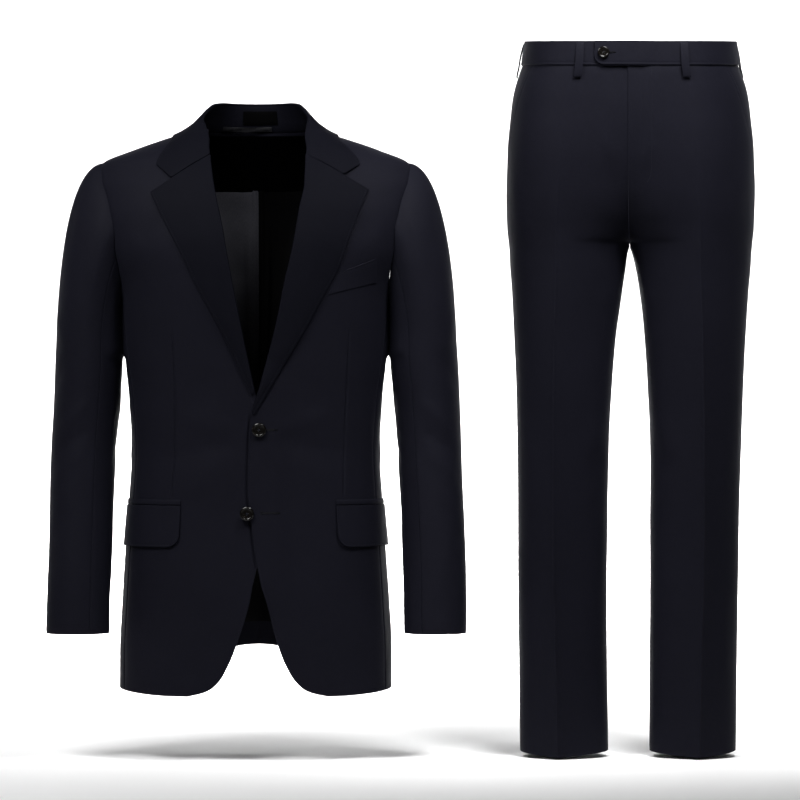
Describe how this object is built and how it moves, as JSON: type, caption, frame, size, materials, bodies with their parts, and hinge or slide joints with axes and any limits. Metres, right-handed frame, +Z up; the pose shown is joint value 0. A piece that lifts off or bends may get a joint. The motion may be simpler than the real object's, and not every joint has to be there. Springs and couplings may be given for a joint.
{
  "type": "suit jacket and trousers",
  "caption": "Tailored suit of dark wool: a notch lapel jacket with flap pockets and flat front trousers, both filled out hollow as worn",
  "frame": {"origin": "between the shoulders of the jacket, where a wearer's shoulders hold it, level with the neck ends of the shoulder seams", "axes": "+Z up; the front faces -Y; +X to the viewer's right, where the trousers stand beside the jacket"},
  "size_m": [1.0023, 0.2728, 1.0121],
  "materials": {
    "jacket_suiting": "midnight navy fine worsted wool, a small twill weave with a soft low sheen",
    "collar_suiting": "the jacket's wool on the collar and lapels, pressed, with pick stitching near the edge",
    "trouser_suiting": "the same midnight navy worsted wool, pressed with creases",
    "lining_satin": "charcoal satin lining with a soft gloss",
    "yoke_cloth": "near black wool yoke inside the back",
    "horn_buttons": "dark horn, polished, with a turned rim and four holes",
    "label_satin": "plain black woven satin label with no words",
    "loop_cord": "dark satin hanger loop"
  },
  "bodies": {
    "root": {"back_lining_left": "lining_satin", "back_lining_right": "lining_satin", "back_yoke_lining": "yoke_cloth", "belt_loop_back_left": "trouser_suiting", "belt_loop_back_middle": "trouser_suiting", "belt_loop_back_right": "trouser_suiting", "belt_loop_front_left": "trouser_suiting", "belt_loop_front_right": "trouser_suiting", "belt_loop_side_left": "trouser_suiting", "belt_loop_side_right": "trouser_suiting", "breast_welt": "jacket_suiting", "collar_fall": "collar_suiting", "collar_stand": "collar_suiting", "hanger_loop": "loop_cord", "jacket_back_left": "jacket_suiting", "jacket_back_right": "jacket_suiting", "jacket_button_low": "horn_buttons", "jacket_button_top": "horn_buttons", "jacket_front_left": "jacket_suiting", "jacket_front_right": "jacket_suiting", "jacket_side_left": "jacket_suiting", "jacket_side_right": "jacket_suiting", "lapel_left": "collar_suiting", "lapel_right": "collar_suiting", "neck_label": "label_satin", "pocket_facing_left": "trouser_suiting", "pocket_facing_right": "trouser_suiting", "pocket_flap_left": "jacket_suiting", "pocket_flap_right": "jacket_suiting", "pocket_jet_left": "jacket_suiting", "pocket_jet_right": "jacket_suiting", "sleeve_top_left": "jacket_suiting", "sleeve_top_right": "jacket_suiting", "sleeve_under_left": "jacket_suiting", "sleeve_under_right": "jacket_suiting", "trousers_back_left": "trouser_suiting", "trousers_back_right": "trouser_suiting", "trousers_front_left": "trouser_suiting", "trousers_front_right": "trouser_suiting", "waistband_button": "horn_buttons", "waistband_left": "trouser_suiting", "waistband_right": "trouser_suiting"}
  },
  "joints": []
}
